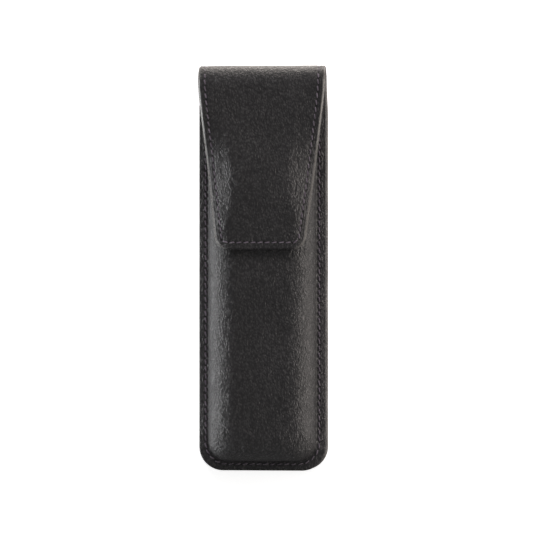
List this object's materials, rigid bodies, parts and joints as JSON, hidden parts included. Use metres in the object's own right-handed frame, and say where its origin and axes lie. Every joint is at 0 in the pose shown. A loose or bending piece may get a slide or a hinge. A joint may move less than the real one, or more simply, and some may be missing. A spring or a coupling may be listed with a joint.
{
  "type": "slim leather slip case",
  "caption": "Slim leather slip case with a moulded front, a flat sewn rim and a tapered flap that folds over the open end from the back.",
  "frame": {"origin": "middle of the case's footprint on the outer face of its back", "axes": "the case lies on its back: +X across it to the right as seen from the front, +Y along it from the bottom seam to the fold, +Z out of its front"},
  "size_m": [0.05, 0.1596, 0.0196],
  "materials": {
    "black_leather": "smooth black nappa with a fine pebbled grain and burnished cut edges",
    "charcoal_lining": "matt brushed lining",
    "stiffener_board": "plain pressed board",
    "magnet_nickel": "nickel-plated disc",
    "sewing_thread": "waxed thread, dark violet-grey"
  },
  "bodies": {
    "case": {"back_panel": "black_leather", "back_stiffener": "stiffener_board", "seam_filler": "black_leather", "back_lining": "charcoal_lining", "front_lining": "charcoal_lining", "front_stiffener": "stiffener_board", "front_magnet": "magnet_nickel", "front_panel": "black_leather", "front_seam_thread": "sewing_thread", "back_seam_thread": "sewing_thread", "mouth_thread": "sewing_thread"},
    "fold_rear": {"fold_rear_leather": "black_leather", "fold_rear_lining": "charcoal_lining", "fold_rear_thread_left": "sewing_thread", "fold_rear_thread_right": "sewing_thread"},
    "fold_top": {"fold_top_leather": "black_leather", "fold_top_lining": "charcoal_lining", "fold_top_thread_left": "sewing_thread", "fold_top_thread_right": "sewing_thread"},
    "fold_front": {"fold_front_leather": "black_leather", "fold_front_lining": "charcoal_lining", "fold_front_thread_left": "sewing_thread", "fold_front_thread_right": "sewing_thread"},
    "flap": {"flap_leather": "black_leather", "flap_lining": "charcoal_lining", "flap_stiffener": "stiffener_board", "flap_magnet": "magnet_nickel", "flap_thread": "sewing_thread", "flap_under_thread": "sewing_thread"}
  },
  "joints": [
    {"name": "rear_crease", "type": "hinge", "parent": "case", "child": "fold_rear", "pos_m": [0, 0.07364, 0], "axis": [-1, 0, 0], "range_deg": [0, 45]},
    {"name": "top_rear_crease", "type": "hinge", "parent": "fold_rear", "child": "fold_top", "pos_m": [0, 0.0792, 0.00556], "axis": [-1, 0, 0], "range_deg": [0, 45]},
    {"name": "top_front_crease", "type": "hinge", "parent": "fold_top", "child": "fold_front", "pos_m": [0, 0.0792, 0.01344], "axis": [-1, 0, 0], "range_deg": [0, 45]},
    {"name": "front_crease", "type": "hinge", "parent": "fold_front", "child": "flap", "pos_m": [0, 0.07364, 0.019], "axis": [-1, 0, 0], "range_deg": [0, 45]}
  ],
  "couplings": [
    {"joint": "top_rear_crease", "follows": "rear_crease", "ratio": 1},
    {"joint": "top_front_crease", "follows": "rear_crease", "ratio": 1},
    {"joint": "front_crease", "follows": "rear_crease", "ratio": 1}
  ]
}
